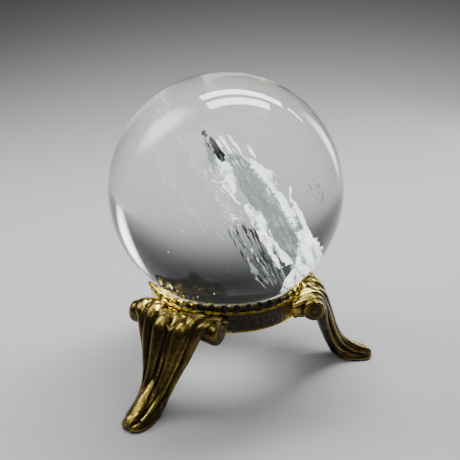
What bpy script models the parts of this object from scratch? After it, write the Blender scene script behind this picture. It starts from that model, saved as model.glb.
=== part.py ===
"""A crystal ball on its three-legged stand.

A polished quartz ball rests loose in a round collar. The collar carries a beaded rim, and three
cast scroll legs are screwed to it from inside. Metres, +Z up. The origin is on the table, under
the middle of the object's box, so the ball's own axis stands a little to one side of it.
"""
import math

import bmesh
import bpy
from mathutils import Matrix, Vector

# ---- driving dimensions, in metres ----
BALL_R = 0.0300
BALL_CENTRE_Z = 0.0472
BALL_SEGMENTS = 48
BALL_RINGS = 24

CLEARANCE = 0.0003          # gap between two pieces that meet
OVERSHOOT = 0.002           # how far a cutter runs past what it cuts

COLLAR_BOTTOM_Z = 0.0167
COLLAR_LEDGE_Z = 0.0218     # the bead wire lies on this ledge
COLLAR_LIP_Z = 0.0233       # top of the lip behind the beads
COLLAR_BOTTOM_R = 0.0202
COLLAR_LEDGE_R = 0.0197
COLLAR_BORE_R = 0.0180
COLLAR_LIP_R = 0.0185
COLLAR_SEGMENTS = 72
SEAT_DROP = 0.0003          # the seat slopes down to the bore like the ball above it

BEAD_COUNT = 42
BEAD_R = 0.00095
BEAD_WIRE_R = 0.00050
BEAD_CIRCLE_R = 0.0198
BEAD_Z = 0.0231
BEAD_SIDES = 6
BEAD_SECTIONS = (-0.85, -0.5, 0.0, 0.5, 0.85)   # where a bead is cut, as shares of its radius

# The legs were fixed by hand: the front left one stands a degree off an even third.
LEG_ANGLES = {"right": 0.0, "front_left": -121.0, "back_left": 120.0}
TOE_R = 0.0416              # reach of a toe from the ball's axis
FLANGE_T = 0.0010           # curved plate of the leg that lies on the collar
FLANGE_HALF_ANGLE = 30.0
FLANGE_STEPS = 10
FLANGE_Z = (0.0164, 0.0214)

ROLL_CENTRE = (0.0225, 0.0191)
ROLL_R = 0.0025
ROLL_HALF_LENGTH = 0.0129
ROLL_SEGMENTS = 24
ROLL_ROUNDING = 0.0006
SHOULDER_R = 0.0029         # the step between the roll and the knee
SHOULDER_RISE = 0.0021      # how far the strap starts above the roll's centre
SHOULDER_HALF_WIDTH = 0.0098
SHOULDER_STEPS = 8          # facets of the half turn over the roll

SCREW_Z = 0.0194
SCREW_R = 0.0012
SCREW_TIP_R = 0.0247        # how far out the screw's tip lies
SCREW_HEAD_R = 0.0022
SCREW_HEAD_H = 0.0012
SCREW_SEGMENTS = 20
SCREW_POINT_LENGTH = 0.0004
SCREW_POINT_SHARE = 0.6     # radius of the tip's end against the shank's
HOLE_SEGMENTS = 16
SLOT_WIDTH = 0.0006
SLOT_DEPTH = 0.0005

AXIS_X = (BALL_R - TOE_R) / 2   # puts the origin under the middle of the box

# Leg stations: outer (front) point, inner (back) point, half width. Radius and height.
LEG_STATIONS = [
    ((0.0202, 0.0214), (0.0202, 0.0172), 0.0066),
    ((0.0221, 0.0220), (0.0213, 0.0166), 0.0068),
    ((0.0243, 0.0217), (0.0224, 0.0160), 0.0070),
    ((0.0262, 0.0203), (0.0234, 0.0152), 0.0071),
    ((0.0277, 0.0180), (0.0241, 0.0140), 0.0070),
    ((0.0289, 0.0154), (0.0248, 0.0124), 0.0065),
    ((0.0301, 0.0121), (0.0256, 0.0103), 0.0056),
    ((0.0316, 0.0084), (0.0268, 0.0075), 0.0045),
    ((0.0334, 0.0058), (0.0284, 0.0041), 0.0038),
    ((0.0355, 0.0041), (0.0302, 0.0012), 0.0036),
    ((0.0378, 0.0031), (0.0345, -0.0006), 0.0035),
    ((0.0396, 0.0025), (0.0379, -0.0006), 0.0032),
    ((0.0409, 0.0021), (0.0402, -0.0001), 0.0025),
    ((TOE_R, 0.0014), (TOE_R, 0.0005), 0.0012),
]
LEG_SIDES = 20
LEG_STEPS = 2               # loft rings from one station to the next
LEG_SQUARENESS = 3.2        # exponent of the rounded section, 2 is an ellipse

SMOOTH_ANGLE = 40.0         # edges sharper than this stay crisp when shaded


def clear_scene():
    for obj in list(bpy.data.objects):
        bpy.data.objects.remove(obj, do_unlink=True)


def make_material(name, colour, roughness, metallic, transmission=0.0, ior=1.45):
    material = bpy.data.materials.new(name)
    material.use_nodes = True
    shader = material.node_tree.nodes["Principled BSDF"]
    shader.inputs["Base Color"].default_value = (*colour, 1.0)
    shader.inputs["Roughness"].default_value = roughness
    shader.inputs["Metallic"].default_value = metallic
    shader.inputs["Transmission Weight"].default_value = transmission
    shader.inputs["IOR"].default_value = ior
    material.diffuse_color = (*colour, 1.0)
    return material


def add_object(name, bm, parent=None, material=None):
    """Turn a bmesh into a named, smooth-shaded object."""
    bmesh.ops.recalc_face_normals(bm, faces=bm.faces)
    mesh = bpy.data.meshes.new(name)
    bm.to_mesh(mesh)
    bm.free()
    mesh.shade_smooth()
    mesh.set_sharp_from_angle(angle=math.radians(SMOOTH_ANGLE))
    obj = bpy.data.objects.new(name, mesh)
    bpy.context.scene.collection.objects.link(obj)
    obj.parent = parent
    if material:
        mesh.materials.append(material)
    return obj


def as_helper(obj):
    """Mark an object as a cutter or a tool for a union."""
    obj.hide_render = True
    obj.display_type = "WIRE"
    return obj


def combine(target, tool, operation):
    modifier = target.modifiers.new(tool.name, "BOOLEAN")
    modifier.object = tool
    modifier.operation = operation
    modifier.solver = "EXACT"


def revolve(profile, segments):
    """A closed ring turned from a closed outline of (radius, height) points."""
    bm = bmesh.new()
    rings = []
    for step in range(segments):
        angle = 2 * math.pi * step / segments
        across, along = math.cos(angle), math.sin(angle)
        rings.append([bm.verts.new((r * across, r * along, z)) for r, z in profile])
    close_rings(bm, rings, loop=True)
    return bm


def close_rings(bm, rings, loop):
    """Join neighbouring rings of vertices with quads, and cap the ends of an open run."""
    count = len(rings[0])
    pairs = list(zip(rings, rings[1:]))
    if loop:
        pairs.append((rings[-1], rings[0]))
    for near, far in pairs:
        for i in range(count):
            j = (i + 1) % count
            bm.faces.new((near[i], near[j], far[j], far[i]))
    if not loop:
        bm.faces.new(rings[0])
        bm.faces.new(rings[-1])


def cylinder(radius, start, end, segments):
    """A cylinder between two points."""
    bm = bmesh.new()
    start, end = Vector(start), Vector(end)
    axis = end - start
    turn = axis.to_track_quat("Z", "Y").to_matrix().to_4x4()
    place = Matrix.Translation((start + end) / 2) @ turn
    bmesh.ops.create_cone(
        bm, cap_ends=True, segments=segments, radius1=radius, radius2=radius,
        depth=axis.length, matrix=place,
    )
    return bm


def box(low, high):
    bm = bmesh.new()
    size = [b - a for a, b in zip(low, high)]
    centre = [(a + b) / 2 for a, b in zip(low, high)]
    place = Matrix.Translation(centre) @ Matrix.Diagonal((*size, 1.0))
    bmesh.ops.create_cube(bm, size=1.0, matrix=place)
    return bm


def catmull_rom(points, steps):
    """Points on a smooth curve through the given points, which keeps its first and last."""
    padded = [points[0], *points, points[-1]]
    curve = []
    for a, b, c, d in zip(padded, padded[1:], padded[2:], padded[3:]):
        for step in range(steps):
            t = step / steps
            curve.append([
                0.5 * (2 * q + (r - p) * t + (2 * p - 5 * q + 4 * r - s) * t ** 2
                       + (3 * q - p - 3 * r + s) * t ** 3)
                for p, q, r, s in zip(a, b, c, d)
            ])
    curve.append(list(points[-1]))
    return curve


# ---- sub-parts ----
def build_ball(parent, material):
    bm = bmesh.new()
    bmesh.ops.create_uvsphere(
        bm, u_segments=BALL_SEGMENTS, v_segments=BALL_RINGS, radius=BALL_R,
        matrix=Matrix.Identity(4),
    )
    ball = add_object("crystal_ball", bm, parent, material)
    ball.location.z = BALL_CENTRE_Z
    return ball


def build_collar(parent, material):
    """The band: plain outer wall, ledge for the bead wire, lip and sloping seat, plain bore."""
    profile = [
        (COLLAR_BOTTOM_R, COLLAR_BOTTOM_Z),
        (COLLAR_LEDGE_R, COLLAR_LEDGE_Z),
        (COLLAR_LIP_R, COLLAR_LEDGE_Z),
        (COLLAR_LIP_R, COLLAR_LIP_Z),
        (COLLAR_BORE_R, COLLAR_LIP_Z - SEAT_DROP),
        (COLLAR_BORE_R, COLLAR_BOTTOM_Z),
    ]
    collar = add_object("collar_ring", revolve(profile, COLLAR_SEGMENTS), parent, material)
    for side, degrees in LEG_ANGLES.items():
        hole = as_helper(add_object(
            f"collar_hole_{side}",
            cylinder(SCREW_R + CLEARANCE, (COLLAR_BORE_R - OVERSHOOT, 0, SCREW_Z),
                     (COLLAR_BOTTOM_R + OVERSHOOT, 0, SCREW_Z), HOLE_SEGMENTS),
            parent,
        ))
        hole.rotation_euler.z = math.radians(degrees)
        combine(collar, hole, "DIFFERENCE")
    return collar


def build_bead_rim(parent, material):
    """A beaded wire: a round ring whose section swells into beads at an even pitch."""
    bm = bmesh.new()
    pitch = 2 * math.pi / BEAD_COUNT
    half_bead = BEAD_R / BEAD_CIRCLE_R
    rings = []
    for bead in range(BEAD_COUNT):
        for share in BEAD_SECTIONS:
            swell = BEAD_R * math.sqrt(1 - share ** 2)
            thick = max(swell, BEAD_WIRE_R)
            angle = bead * pitch + share * half_bead
            ring = []
            for side in range(BEAD_SIDES):
                turn = 2 * math.pi * side / BEAD_SIDES
                r = BEAD_CIRCLE_R + thick * math.cos(turn)
                z = BEAD_Z + thick * math.sin(turn)
                ring.append(bm.verts.new((r * math.cos(angle), r * math.sin(angle), z)))
            rings.append(ring)
    close_rings(bm, rings, loop=True)
    return add_object("bead_rim", bm, parent, material)


def leg_spine():
    """The leg from the collar over the knee and down to the toe, as a loft of rounded sections."""
    bm = bmesh.new()
    rows = [(*outer, *inner, width) for outer, inner, width in LEG_STATIONS]
    rings = []
    for outer_r, outer_z, inner_r, inner_z, width in catmull_rom(rows, LEG_STEPS):
        middle = Vector(((outer_r + inner_r) / 2, 0, (outer_z + inner_z) / 2))
        thick = Vector(((outer_r - inner_r) / 2, 0, (outer_z - inner_z) / 2))
        ring = []
        for side in range(LEG_SIDES):
            turn = 2 * math.pi * side / LEG_SIDES
            power = 2 / LEG_SQUARENESS
            out = math.copysign(abs(math.cos(turn)) ** power, math.cos(turn))
            across = math.copysign(abs(math.sin(turn)) ** power, math.sin(turn))
            ring.append(bm.verts.new(middle + thick * out + Vector((0, width * across, 0))))
        rings.append(ring)
    close_rings(bm, rings, loop=False)
    return bm


def leg_shoulder():
    """The step beside the knee: a strap from the collar that turns over the roll."""
    centre_r, centre_z = ROLL_CENTRE
    outline = [(COLLAR_BORE_R, centre_z - ROLL_R), (COLLAR_BORE_R, centre_z + SHOULDER_RISE)]
    for step in range(SHOULDER_STEPS + 1):
        angle = math.radians(90 - 180 * step / SHOULDER_STEPS)
        outline.append((centre_r + SHOULDER_R * math.cos(angle),
                        centre_z + SHOULDER_R * math.sin(angle)))
    bm = bmesh.new()
    ends = []
    for y in (-SHOULDER_HALF_WIDTH, SHOULDER_HALF_WIDTH):
        ends.append([bm.verts.new((r, y, z)) for r, z in outline])
    close_rings(bm, ends, loop=False)
    return bm


def leg_flange():
    """A curved plate that lies against the collar's wall."""
    bm = bmesh.new()
    inner = COLLAR_BORE_R       # the union with the leg is cut back to the collar's wall
    outer = COLLAR_BOTTOM_R + CLEARANCE + FLANGE_T
    corners = [(inner, FLANGE_Z[0]), (outer, FLANGE_Z[0]),
               (outer, FLANGE_Z[1]), (inner, FLANGE_Z[1])]
    rings = []
    for step in range(FLANGE_STEPS + 1):
        angle = math.radians(FLANGE_HALF_ANGLE * (2 * step / FLANGE_STEPS - 1))
        rings.append([
            bm.verts.new((r * math.cos(angle), r * math.sin(angle), z)) for r, z in corners
        ])
    close_rings(bm, rings, loop=False)
    return bm


def leg_roll():
    """The cross roll whose two ends are the leg's volutes, with rounded rims."""
    roll_r, roll_z = ROLL_CENTRE
    bm = cylinder(ROLL_R, (roll_r, -ROLL_HALF_LENGTH, roll_z),
                  (roll_r, ROLL_HALF_LENGTH, roll_z), ROLL_SEGMENTS)
    rims = [edge for edge in bm.edges if any(len(face.verts) > 4 for face in edge.link_faces)]
    bmesh.ops.bevel(bm, geom=rims, offset=ROLL_ROUNDING, segments=2, affect="EDGES", profile=0.5)
    return bm


def collar_room():
    """The space that the collar takes, with its clearance, which is cut out of each leg."""
    inner = COLLAR_BORE_R - 2 * OVERSHOOT
    outline = [
        (inner, COLLAR_BOTTOM_Z - OVERSHOOT),
        (COLLAR_BOTTOM_R + CLEARANCE, COLLAR_BOTTOM_Z - OVERSHOOT),
        (COLLAR_BOTTOM_R + CLEARANCE, COLLAR_BOTTOM_Z),
        (COLLAR_LEDGE_R + CLEARANCE, COLLAR_LEDGE_Z + OVERSHOOT),
        (inner, COLLAR_LEDGE_Z + OVERSHOOT),
    ]
    return revolve(outline, COLLAR_SEGMENTS)


def table_block():
    """A block up to the table's top, which cuts the foot flat."""
    return box((COLLAR_BOTTOM_R, -ROLL_HALF_LENGTH, -OVERSHOOT),
               (TOE_R + OVERSHOOT, ROLL_HALF_LENGTH, 0.0))


def screw_hole():
    return cylinder(SCREW_R + CLEARANCE, (COLLAR_BORE_R, 0, SCREW_Z),
                    (SCREW_TIP_R + CLEARANCE, 0, SCREW_Z), HOLE_SEGMENTS)


def build_leg(side, degrees, parent, material):
    leg = add_object(f"leg_{side}", leg_spine(), parent, material)
    steps = [
        (leg_roll(), "UNION", "roll"),
        (leg_shoulder(), "UNION", "shoulder"),
        (leg_flange(), "UNION", "flange"),
        (collar_room(), "DIFFERENCE", "collar_room"),
        (table_block(), "DIFFERENCE", "table"),
        (screw_hole(), "DIFFERENCE", "screw_hole"),
    ]
    for bm, operation, label in steps:
        tool = as_helper(add_object(f"{label}_{side}", bm, leg))
        combine(leg, tool, operation)
    leg.rotation_euler.z = math.radians(degrees)
    return leg


def build_screw(side, degrees, parent, material):
    """A slotted cheese-head screw, head inside the collar and shank out into the leg."""
    seat_r = COLLAR_BORE_R - CLEARANCE
    head_end = seat_r - SCREW_HEAD_H
    length = SCREW_TIP_R - head_end
    outline = [
        (0.0, SCREW_HEAD_R), (SCREW_HEAD_H, SCREW_HEAD_R), (SCREW_HEAD_H, SCREW_R),
        (length - SCREW_POINT_LENGTH, SCREW_R), (length, SCREW_R * SCREW_POINT_SHARE),
    ]
    bm = bmesh.new()
    rings = []
    for along, radius in outline:
        rings.append([
            bm.verts.new((head_end + along,
                          radius * math.cos(2 * math.pi * i / SCREW_SEGMENTS),
                          SCREW_Z + radius * math.sin(2 * math.pi * i / SCREW_SEGMENTS)))
            for i in range(SCREW_SEGMENTS)
        ])
    close_rings(bm, rings, loop=False)
    screw = add_object(f"screw_{side}", bm, parent, material)
    slot = as_helper(add_object(
        f"slot_{side}",
        box((head_end - OVERSHOOT, -SCREW_HEAD_R - OVERSHOOT, SCREW_Z - SLOT_WIDTH / 2),
            (head_end + SLOT_DEPTH, SCREW_HEAD_R + OVERSHOOT, SCREW_Z + SLOT_WIDTH / 2)),
        screw,
    ))
    combine(screw, slot, "DIFFERENCE")
    screw.rotation_euler.z = math.radians(degrees)
    return screw


def main():
    clear_scene()
    quartz = make_material("quartz", (0.93, 0.95, 0.94), 0.02, 0.0, transmission=1.0, ior=1.54)
    brass = make_material("antique_brass", (0.52, 0.36, 0.09), 0.32, 1.0)
    bead_brass = make_material("bead_brass", (0.58, 0.41, 0.11), 0.30, 1.0)
    dark_brass = make_material("dark_brass", (0.30, 0.20, 0.06), 0.36, 1.0)
    screw_brass = make_material("screw_brass", (0.62, 0.48, 0.20), 0.35, 1.0)

    axis = bpy.data.objects.new("ball_axis", None)
    bpy.context.scene.collection.objects.link(axis)
    axis.location.x = AXIS_X

    build_ball(axis, quartz)
    build_collar(axis, brass)
    build_bead_rim(axis, bead_brass)
    for side, degrees in LEG_ANGLES.items():
        build_leg(side, degrees, axis, dark_brass)
        build_screw(side, degrees, axis, screw_brass)


main()
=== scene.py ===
import math

import bmesh
import bpy
import numpy as np
from mathutils import Matrix, Vector, noise


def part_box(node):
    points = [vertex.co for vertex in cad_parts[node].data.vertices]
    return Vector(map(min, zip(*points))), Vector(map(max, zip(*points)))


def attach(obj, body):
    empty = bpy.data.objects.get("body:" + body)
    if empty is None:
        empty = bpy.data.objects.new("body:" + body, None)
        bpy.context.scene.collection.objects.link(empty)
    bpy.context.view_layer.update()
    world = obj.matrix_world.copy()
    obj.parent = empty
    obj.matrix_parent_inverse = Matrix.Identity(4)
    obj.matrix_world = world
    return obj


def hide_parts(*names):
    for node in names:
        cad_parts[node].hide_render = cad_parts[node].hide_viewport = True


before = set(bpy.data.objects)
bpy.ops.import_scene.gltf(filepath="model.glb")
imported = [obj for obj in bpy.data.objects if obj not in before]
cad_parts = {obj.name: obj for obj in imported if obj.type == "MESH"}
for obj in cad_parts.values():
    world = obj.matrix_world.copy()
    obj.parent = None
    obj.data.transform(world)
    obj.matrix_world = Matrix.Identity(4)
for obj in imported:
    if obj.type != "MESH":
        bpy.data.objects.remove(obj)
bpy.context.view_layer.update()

# ---- the frame: everything is placed from these boxes ----
MM = 0.001
BALL_LOW, BALL_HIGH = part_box("crystal_ball")
BALL_CENTRE = (BALL_LOW + BALL_HIGH) / 2
BALL_R = (BALL_HIGH.z - BALL_LOW.z) / 2
AXIS = Vector((BALL_CENTRE.x, BALL_CENTRE.y, 0.0))
COLLAR_LOW, COLLAR_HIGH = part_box("collar_ring")
BEAD_LOW, BEAD_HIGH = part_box("bead_rim")

COLLAR_R = (COLLAR_HIGH.x - COLLAR_LOW.x) / 2 / MM
COLLAR_BOTTOM = COLLAR_LOW.z / MM
COLLAR_TOP = COLLAR_HIGH.z / MM
BEAD_MID = (BEAD_HIGH.z + BEAD_LOW.z) / 2 / MM
BEAD_OUTER_R = (BEAD_HIGH.x - BEAD_LOW.x) / 2 / MM

LEG_ANGLES = {"right": 0.0, "front_left": -121.0, "back_left": 120.0}
BEAD_COUNT = 42
QUARTZ_IOR = 1.544
BALL_SUBDIVISIONS = 7

# base colours of the gilt metal, from the deepest hollow to the barest ridge; the mask that
# picks among them also carries painted light
GOLD_TONES = [(0.008, 0.006, 0.004), (0.052, 0.033, 0.009), (0.29, 0.20, 0.022),
              (0.76, 0.565, 0.055), (0.95, 0.80, 0.18)]
BRONZE_TONES = [(0.006, 0.004, 0.003), (0.036, 0.022, 0.009), (0.120, 0.081, 0.022),
                (0.37, 0.275, 0.050), (0.86, 0.71, 0.19)]
FLOOR_GREY = (0.48, 0.48, 0.49)
BACKDROP_GREY = (0.26, 0.26, 0.265)
FADE_DEPTH = (0.20, 1.10)       # metres behind the origin between which the grey changes
TONE_STEPS = (0.0, 0.30, 0.52, 0.74, 1.0)      # where on the mask of wear, patina and painted light each tone sits

# shares in the mask of wear, patina and painted light, beside each casting's own clouds and wear
RELIEF_SHARE = 1.25
GRAIN_SHARE = 0.3
UPWARD_SHARE = 0.24

# painted light, a painted highlight on the stand's two sides and near the collar on each leg: the
# metres from the axis where it starts and where it is full, and how much it then adds to the mask
PAINTED_SIDE_LIGHT_DIRECTION = (0.97, 0.25, 0.0)
PAINTED_SIDE_LIGHT_REACH = (0.009, 0.018)
PAINTED_SIDE_LIGHT_GAIN = 0.80
PAINTED_ROOT_LIGHT_REACH = (0.0255, 0.0210)
PAINTED_ROOT_LIGHT_GAIN = 0.38

# fractal noise: falloff, step between octaves, and number of octaves
SKIN_NOISE = (0.6, 2.0, 4)
EDGE_NOISE = (0.7, 2.0, 5)
CRUMPLE_NOISE = (0.8, 2.1, 5)

# rings that round off a tube's end: how far out, and how wide
CAP_STEPS = ((0.5, 0.87), (0.87, 0.5), (0.98, 0.17))

WELD_VOXEL = 0.15           # millimetres, the grid that a casting's bodies are welded on
WELD_ROUNDS = 3             # rounds of relaxing that take the grid's steps out again


# ---- mesh helpers; lengths in millimetres until the mesh is made ----
def new_object(name, points, faces):
    """An object in the scene from points in metres."""
    mesh = bpy.data.meshes.new(name)
    mesh.from_pydata([tuple(p) for p in points], [], [tuple(f) for f in faces])
    mesh.update()
    obj = bpy.data.objects.new(name, mesh)
    bpy.context.scene.collection.objects.link(obj)
    return obj


def dress(obj, material):
    """Smooth shading and a material."""
    obj.data.shade_smooth()
    obj.data.materials.append(material)


def smooth_rows(rows, steps):
    """Rows of numbers on a Catmull-Rom curve through the given rows."""
    rows = np.array(rows, float)
    padded = np.vstack([2 * rows[0] - rows[1], rows, 2 * rows[-1] - rows[-2]])
    shares = np.arange(steps)[:, None] / steps
    curve = []
    for p, q, r, s in zip(padded, padded[1:], padded[2:], padded[3:]):
        curve.append(0.5 * (2 * q + (r - p) * shares + (2 * p - 5 * q + 4 * r - s) * shares ** 2
                            + (3 * q - p - 3 * r + s) * shares ** 3))
    return np.vstack([*curve, rows[-1:]])


def skin(rings, first=0, closed=False):
    """Quads between neighbouring rings of equal length, with the ends of an open run capped."""
    count = len(rings[0])
    faces = []
    last = len(rings) if closed else len(rings) - 1
    for i in range(last):
        near = first + i * count
        far = first + ((i + 1) % len(rings)) * count
        for j in range(count):
            k = (j + 1) % count
            faces.append((near + j, near + k, far + k, far + j))
    if not closed:
        faces.append(tuple(first + j for j in reversed(range(count))))
        faces.append(tuple(first + (len(rings) - 1) * count + j for j in range(count)))
    return faces


def squared_circle(sides, squareness):
    """Two arrays that go round a unit circle, or round a squarer loop above squareness 2."""
    turns = 2 * math.pi * np.arange(sides) / sides
    power = 2 / squareness
    first = np.sign(np.cos(turns)) * np.abs(np.cos(turns)) ** power
    second = np.sign(np.sin(turns)) * np.abs(np.sin(turns)) ** power
    return first, second


class Shape:
    """Closed bodies gathered into one mesh, in leg coordinates: out, across, up."""

    def __init__(self):
        self.points = []
        self.faces = []

    def add(self, rings):
        """Add the body that a run of rings makes."""
        self.faces += skin(rings, len(self.points))
        for ring in rings:
            self.points += [tuple(p) for p in ring]

    def tube(self, rows, steps=6, sides=18, squareness=2.0):
        """A round-ended tube through rows of (out, across, up, half width, half thickness)."""
        rows = smooth_rows(rows, steps)
        path = rows[:, :3]
        tangents = np.gradient(path, axis=0)
        tangents /= np.linalg.norm(tangents, axis=1)[:, None]
        across, through = squared_circle(sides, squareness)
        rings = []
        for centre, tangent, (half_width, half_thick) in zip(path, tangents, rows[:, 3:5]):
            side = np.array((0.0, 1.0, 0.0)) - tangent * tangent[1]
            side /= np.linalg.norm(side)
            up = np.cross(side, tangent)
            rings.append(np.array([centre + side * half_width * a + up * half_thick * b
                                   for a, b in zip(across, through)]))
        for end, away in ((0, -1), (-1, 1)):
            rim, middle = rings[end], path[end]
            bulge = tangents[end] * away * min(rows[end, 3:5])
            for lift, size in CAP_STEPS:
                cap = middle + (rim - middle) * size + bulge * lift
                if end == 0:
                    rings.insert(0, cap)
                else:
                    rings.append(cap)
        self.add(rings)

    def turned(self, centre, profile, sides=40):
        """A body turned about an axis that runs across the leg; profile of (across, radius)."""
        turns = 2 * math.pi * np.arange(sides) / sides
        rings = []
        for y, radius in profile:
            rings.append([(centre[0] + radius * math.cos(t), y, centre[1] + radius * math.sin(t))
                          for t in turns])
        self.add(rings)

    def make(self, name, angle):
        """The object, turned to the leg's place round the ball's axis."""
        place = Matrix.Translation(AXIS) @ Matrix.Rotation(math.radians(angle), 4, "Z")
        points = [place @ (Vector(p) * MM) for p in self.points]
        return new_object(name, points, self.faces)


def read_points(mesh):
    """The mesh's points in metres, one row each."""
    flat = np.empty(len(mesh.vertices) * 3, np.float32)
    mesh.vertices.foreach_get("co", flat)
    return flat.reshape(-1, 3).astype(float)


def write_points(mesh, points):
    """Move the mesh's points."""
    mesh.vertices.foreach_set("co", points.astype(np.float32).ravel())
    mesh.update()


def read_normals(mesh):
    """The normal at each of the mesh's points."""
    flat = np.empty(len(mesh.vertices) * 3, np.float32)
    mesh.vertex_normals.foreach_get("vector", flat)
    return flat.reshape(-1, 3).astype(float)


def edge_ends(mesh):
    """The two points that each edge joins, as rows of indices."""
    ends = np.empty(len(mesh.edges) * 2, np.int32)
    mesh.edges.foreach_get("vertices", ends)
    return ends.reshape(-1, 2)


def relaxed(points, ends, rounds):
    """Points moved half-way to the average of their neighbours, once in each round."""
    count = np.bincount(ends.ravel(), minlength=len(points))[:, None]
    for _ in range(rounds):
        total = np.zeros_like(points)
        for axis in range(3):
            total[:, axis] += np.bincount(ends[:, 0], points[ends[:, 1], axis], len(points))
            total[:, axis] += np.bincount(ends[:, 1], points[ends[:, 0], axis], len(points))
        points = points * 0.5 + total / count * 0.5
    return points


def fuse(obj):
    """Weld overlapping bodies into one cast skin, and soften its creases."""
    modifier = obj.modifiers.new("weld", "REMESH")
    modifier.mode = "VOXEL"
    modifier.voxel_size = WELD_VOXEL * MM
    modifier.adaptivity = 0.0
    graph = bpy.context.evaluated_depsgraph_get()
    mesh = bpy.data.meshes.new_from_object(obj.evaluated_get(graph))
    obj.modifiers.clear()
    old = obj.data
    obj.data = mesh
    bpy.data.meshes.remove(old)
    mesh.name = obj.name
    drop_pockets(mesh)
    write_points(mesh, relaxed(read_points(mesh), edge_ends(mesh), WELD_ROUNDS))


def drop_pockets(mesh):
    """Keep the largest shell only, because a weld leaves small closed pockets in a casting."""
    casting = bmesh.new()
    casting.from_mesh(mesh)
    seen = set()
    shells = []
    for start in casting.verts:
        if start in seen:
            continue
        seen.add(start)
        shell = [start]
        for vert in shell:
            for edge in vert.link_edges:
                other = edge.other_vert(vert)
                if other not in seen:
                    seen.add(other)
                    shell.append(other)
        shells.append(shell)
    shells.sort(key=len)
    pockets = [vert for shell in shells[:-1] for vert in shell]
    bmesh.ops.delete(casting, geom=pockets, context="VERTS")
    casting.to_mesh(mesh)
    casting.free()


def mark_relief(obj, rounds, gain):
    """Store how far each point stands proud (1) or lies in a hollow (0) of its surroundings.

    More rounds take in wider surroundings. A negative gain stores the reverse.
    """
    mesh = obj.data
    points = read_points(mesh)
    wide = relaxed(points, edge_ends(mesh), rounds)
    proud = np.einsum("ij,ij->i", points - wide, read_normals(mesh)) / MM
    relief = np.clip(0.5 + proud * gain, 0, 1)
    layer = mesh.attributes.new("relief", "FLOAT", "POINT")
    layer.data.foreach_set("value", relief.astype(np.float32))


def roughen(obj, amount, size, seed, pits=0, pit_size=(0.0, 0.0), pit_depth=0.0):
    """Casting skin: a slight swell of the surface, and a number of small round pits.

    All lengths are in millimetres. A pit as wide as the upper pit_size is pit_depth deep.
    """
    mesh = obj.data
    points = read_points(mesh) / MM
    normals = read_normals(mesh)
    offset = Vector((seed * 3.1, seed * 1.7, seed * 0.9))
    swell = np.array([noise.fractal(Vector(p) / size + offset, *SKIN_NOISE) for p in points])
    shift = swell * amount
    rng = np.random.default_rng(seed)
    for index in rng.integers(0, len(points), pits):
        radius = rng.uniform(*pit_size)
        gap = np.linalg.norm(points - points[index], axis=1)
        shift -= pit_depth * radius / pit_size[1] * np.clip(1 - (gap / radius) ** 2, 0, 1) ** 2
    write_points(mesh, (points + normals * shift[:, None]) * MM)


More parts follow.
